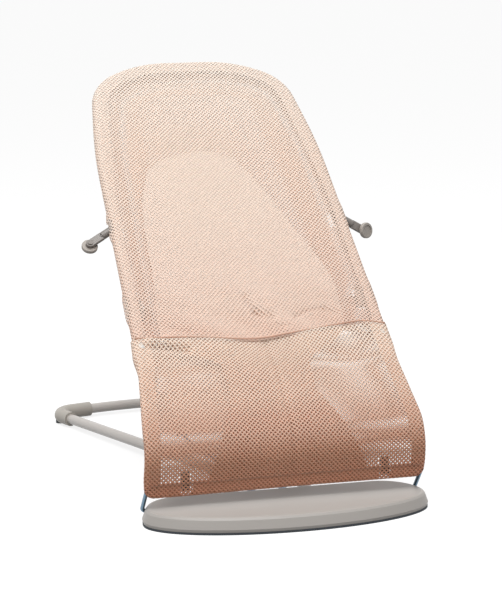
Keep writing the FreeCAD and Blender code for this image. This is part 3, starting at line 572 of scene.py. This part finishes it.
def bell(u, v):
    a, b = u[:, None], v[:, None]
    left, right = along(BELL_LEFT, v), along(BELL_RIGHT, v)
    top, foot = along(BELL_TOP, u), along([(-142, -2), (122, -2)], u)
    low_left, low_right, high_left, high_right = (along(line, t) for t in (np.zeros(1), np.ones(1))
                                                  for line in (BELL_LEFT, BELL_RIGHT))
    p = (1 - b) * foot + b * top + (1 - a) * left + a * right
    p = p - ((1 - a) * (1 - b) * low_left + a * (1 - b) * low_right)
    p = p - ((1 - a) * b * high_left + a * b * high_right)
    x, s = p.T
    s = s + seam(x) * (1 - smooth(s, 0, 40))
    slack = 0.4 * np.sin(x / 17 + s / 11) * np.sin(s / 23 + 1) + 0.3
    sag = hollow(x, s)
    deep = FACE + 0.55 + 0.75 * sag + 0.5 * np.clip(sag - 4.6, 0, 9) + slack * (1 - smooth(s, 40, 110))
    return seat(x, s, deep)


def bell_unit(u, v):
    return bell(u / 100, v / 100)


lining = cloth("bell_lining", (0, 100, 0, 100), 90, 110, bell_unit, tricot)
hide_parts("bell_panel")

# ---- gusset behind the lower mesh ----
def gusset_at(u, v):
    half = np.interp(v, (0, RISE - 95, RISE - 45, RISE - 20, RISE), (118, 60, 62, 110, 134))
    x = u / 100 * half + np.interp(v, (0, RISE), (3, -7))
    v = v + seam(x) * smooth(v, RISE - 70, RISE)
    ridge = 0.8 * np.exp(-(x - np.interp(v, (0, RISE), (9, 0))) ** 2 / 18)
    ripple = 0.6 * np.sin(x / 12) * np.sin(v / 31)
    return front(x, v - droop(x, v), FACE + 1.9 + ripple - ridge + lower_shape(x, v))


lap = cloth("crotch_gusset", (-100, 100, 12, RISE), 70, 70, gusset_at, gusset)
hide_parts("crotch_panel")

# ---- pale lining band round the top of the arch ----
RIM_PART = ARCH_LINE[(ARCH_LINE[:, 1] > 3)]


def rim_band(u, v):
    run = np.linspace(0, 1, len(RIM_PART))
    c = np.stack([np.interp(u / 1000, run, RIM_PART[:, k]) for k in (0, 1)], -1)
    w = unit(np.stack([np.interp(u / 1000, run, np.gradient(RIM_PART[:, k])) for k in (0, 1)], -1))
    out = np.stack((w[:, 1], -w[:, 0]), -1)
    v = np.where(v < 0, v * (0.5 + 0.5 * smooth(c[:, 1], 250, 350)), v)
    across, depth = wrap(v, 7.5, FACE + 0.75)
    at = c + out * across[:, None]
    inner = smooth(-v, 0, 30)
    return seat(at[:, 0], at[:, 1], depth + inner * hollow(at[:, 0], at[:, 1]) * 0.75)


RIM_S = np.linspace(0, 1000, len(RIM_PART))
band = cloth("rim_lining", (0, 1000, -15, 18), 420, 14, rim_band, tricot, thick=0.4,
             skip=lambda u, v: (v > 5) & in_notch(np.interp(u, RIM_S, RIM_PART[:, 1])))

# ---- lining band inside the lower sleeve, round the side wires and the hem ----
def side_band(u, v):
    run = np.linspace(0, 1, len(LOWER_PART))
    c = np.stack([np.interp(u / 1000, run, LOWER_PART[:, k]) for k in (0, 1)], -1)
    w = unit(np.stack([np.interp(u / 1000, run, LOWER_WAY[:, k]) for k in (0, 1)], -1))
    out = np.stack((w[:, 1], -w[:, 0]), -1)
    across, depth = wrap(v, fold_r(c[:, 1]) - 0.8, FACE + 0.7)
    at = c + out * across[:, None]
    inner = smooth(-v, 0, 16)
    q = at[:, 1] + seam(at[:, 0]) * smooth(at[:, 1], RISE - 70, RISE)
    return front(at[:, 0], q - droop(at[:, 0], q), depth + inner * lower_shape(at[:, 0], q))


LOWER_PART = LOWER_LINE[LOWER_LINE[:, 1] < RISE + 3]
LOWER_WAY = unit(np.gradient(LOWER_PART, axis=0))


def at_hook(u, v):
    """The lining is left out at the hooks, along the hem only."""
    x = np.interp(u / 1000, np.linspace(0, 1, len(LOWER_PART)), LOWER_PART[:, 0])
    return (np.abs(np.abs(x) - HOOK_X) < 8) & (np.abs(u - 500) < 300)


hem_band = cloth("hem_lining", (0, 1000, -17, 13), 320, 12, side_band, gusset, thick=0.3, skip=at_hook)

# ---- seams ----
seam_x = np.linspace(-176, 176, 90)
waist_depth = FACE - 0.3 + 0.75 * hollow(seam_x, seam(seam_x)) * 0.3
waist_seam = cord("waist_seam", seat(seam_x, seam(seam_x) + 0.4, waist_depth), 1.15, piping)
hem_x = np.linspace(-186, 186, 80)
hem_q = np.full(80, 19.0)
hem_line = front(hem_x, hem_q - droop(hem_x, hem_q), np.full(80, FACE - 0.5))
hem_stitch = cord("hem_stitch", hem_line, 0.45, piping, sides=6)
rim_path = ARCH_LINE[ARCH_LINE[:, 1] > 2]
x, s = rim_path.T
stretches = []
for word, low, high in (("lower", 2, BRACKET_S[0]), ("middle", BRACKET_S[1], CLAMP_S[0])):
    for side_word, side in (("left", -1), ("right", 1)):
        stretches.append((word + "_" + side_word, (np.sign(x) == side) & (s > low) & (s < high)))
stretches.append(("top", s > CLAMP_S[1]))
for word, chosen in stretches:
    depth = np.full(chosen.sum(), FACE + 2 * SLEEVE_R)
    line = seat(x[chosen], s[chosen], depth)
    cord("sleeve_seam_" + word, line, 1.3, piping)

# ---- floor, light, camera ----
def seen_directly(tree):
    """1 for rays from the eye, from gloss or through a piece, and 0 for light that falls on the object."""
    rays = add(tree, "LightPath")
    most = {"operation": "MAXIMUM"}
    near = add(tree, "Math", most, _0=rays.outputs["Is Camera Ray"], _1=rays.outputs["Is Glossy Ray"])
    return add(tree, "Math", most, _0=near.outputs[0], _1=rays.outputs["Is Transmission Ray"])


def paper(name, shade):
    """Seamless white paper: white to the eye and to gloss, and it keeps the shadow."""
    mat, tree = new_material(name)
    lit = add(tree, "BsdfDiffuse", Color=colour(shade))
    glow = add(tree, "Emission", Color=(1, 1, 1, 1), Strength=1.16)
    both = add(tree, "MixShader", _0=0.68, _1=lit.outputs[0], _2=glow.outputs[0])
    seen = seen_directly(tree)
    bounce = add(tree, "BsdfDiffuse", Color=colour("8C8C8C"))
    shown = add(tree, "MixShader", _0=seen.outputs[0], _1=bounce.outputs[0], _2=both.outputs[0])
    surface(tree, shown.outputs[0])
    return mat


bm = bmesh.new()
bmesh.ops.create_grid(bm, x_segments=1, y_segments=1, size=12)
floor_mesh = bpy.data.meshes.new("floor")
bm.to_mesh(floor_mesh)
bm.free()
floor_mesh.materials.append(paper("white_seamless_paper", "F4F4F4"))
floor = bpy.data.objects.new("floor", floor_mesh)
bpy.context.scene.collection.objects.link(floor)
floor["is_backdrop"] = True

world = bpy.data.worlds.new("white_studio")
bpy.context.scene.world = world
world.use_nodes = True
sky = world.node_tree
sky.nodes.clear()
seen = seen_directly(sky)
dim = add(sky, "Background", Color=(1, 1, 1, 1), Strength=0.575)
white = add(sky, "Background", Color=(1, 1, 1, 1), Strength=1.0)
shown = add(sky, "MixShader", _0=seen.outputs[0], _1=dim.outputs[0], _2=white.outputs[0])
add(sky, "OutputWorld", Surface=shown.outputs[0])


def lamp(name, at, towards, size, power):
    data = bpy.data.lights.new(name, "AREA")
    data.shape = "SQUARE"
    data.size = size
    data.energy = power
    made = bpy.data.objects.new(name, data)
    made.location = at
    made.rotation_mode = "QUATERNION"
    made.rotation_quaternion = (Vector(towards) - Vector(at)).to_track_quat("-Z", "Y")
    bpy.context.scene.collection.objects.link(made)
    return made


lamp("overhead_softbox", (-0.4, -0.5, 2.5), (0, 0.2, 0.2), 2.0, 64)
lamp("front_softbox", (-1.8, -2.0, 1.9), (0, 0.2, 0.25), 1.4, 6.6)

camera_data = bpy.data.cameras.new("camera")
camera_data.sensor_fit = "AUTO"
camera_data.sensor_width = 36
camera_data.lens = 144.75
camera = bpy.data.objects.new("camera", camera_data)
bpy.context.scene.collection.objects.link(camera)
yaw, pitch, roll = math.radians(-15.95), math.radians(10.462), math.radians(-0.32)
look = Vector((-math.sin(yaw) * math.cos(pitch), math.cos(yaw) * math.cos(pitch), -math.sin(pitch)))
right = look.cross(Vector((0, 0, 1))).normalized()
up = right.cross(look)
right, up = right * math.cos(roll) + up * math.sin(roll), up * math.cos(roll) - right * math.sin(roll)
turn = Matrix((right, up, -look)).transposed().to_4x4()
camera.matrix_world = Matrix.Translation((-0.8910, -2.9485, 0.8581)) @ turn
bpy.context.scene.camera = camera
bpy.context.scene.view_settings.view_transform = "Standard"

low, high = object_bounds()
